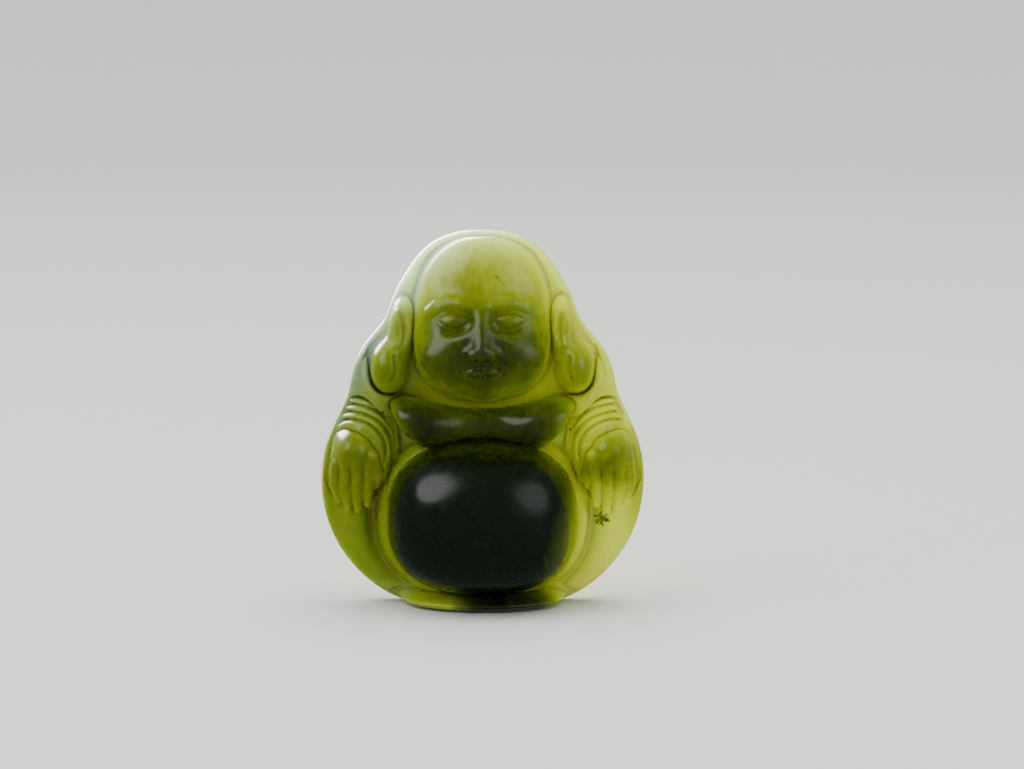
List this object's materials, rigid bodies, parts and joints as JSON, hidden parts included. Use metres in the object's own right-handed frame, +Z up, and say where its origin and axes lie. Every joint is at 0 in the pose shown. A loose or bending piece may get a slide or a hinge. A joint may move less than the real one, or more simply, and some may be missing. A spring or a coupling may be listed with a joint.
{
  "type": "jade figurine",
  "caption": "Small upright jade plaque carved as a seated, bald, round-bellied figure in an open robe, hands on the knees, with a flat back and a flat foot.",
  "frame": {"origin": "bottom centre of the bounding box: on the ground plane, midway across the width and the depth", "axes": "+Z up, the figure faces -Y, its flat back faces +Y, +X is on the viewer's right, which is the figure's own left"},
  "size_m": [0.0414, 0.0156, 0.048],
  "materials": {
    "pale_jade": "polished, translucent, pale lime where the stone is thin",
    "olive_jade": "polished, translucent, olive green in the middle depths",
    "deep_jade": "polished, near-black green where the stone is thick"
  },
  "bodies": {
    "root": {"back_slab": "pale_jade", "belly": "deep_jade", "head": "olive_jade", "chest": "deep_jade", "hem": "pale_jade", "left_ear": "olive_jade", "right_ear": "olive_jade", "left_hand": "olive_jade", "right_hand": "olive_jade", "left_lapel": "olive_jade", "right_lapel": "olive_jade", "left_shoulder": "pale_jade", "right_shoulder": "pale_jade", "left_sleeve": "olive_jade", "right_sleeve": "olive_jade", "left_knee": "pale_jade", "right_knee": "pale_jade"}
  },
  "joints": []
}
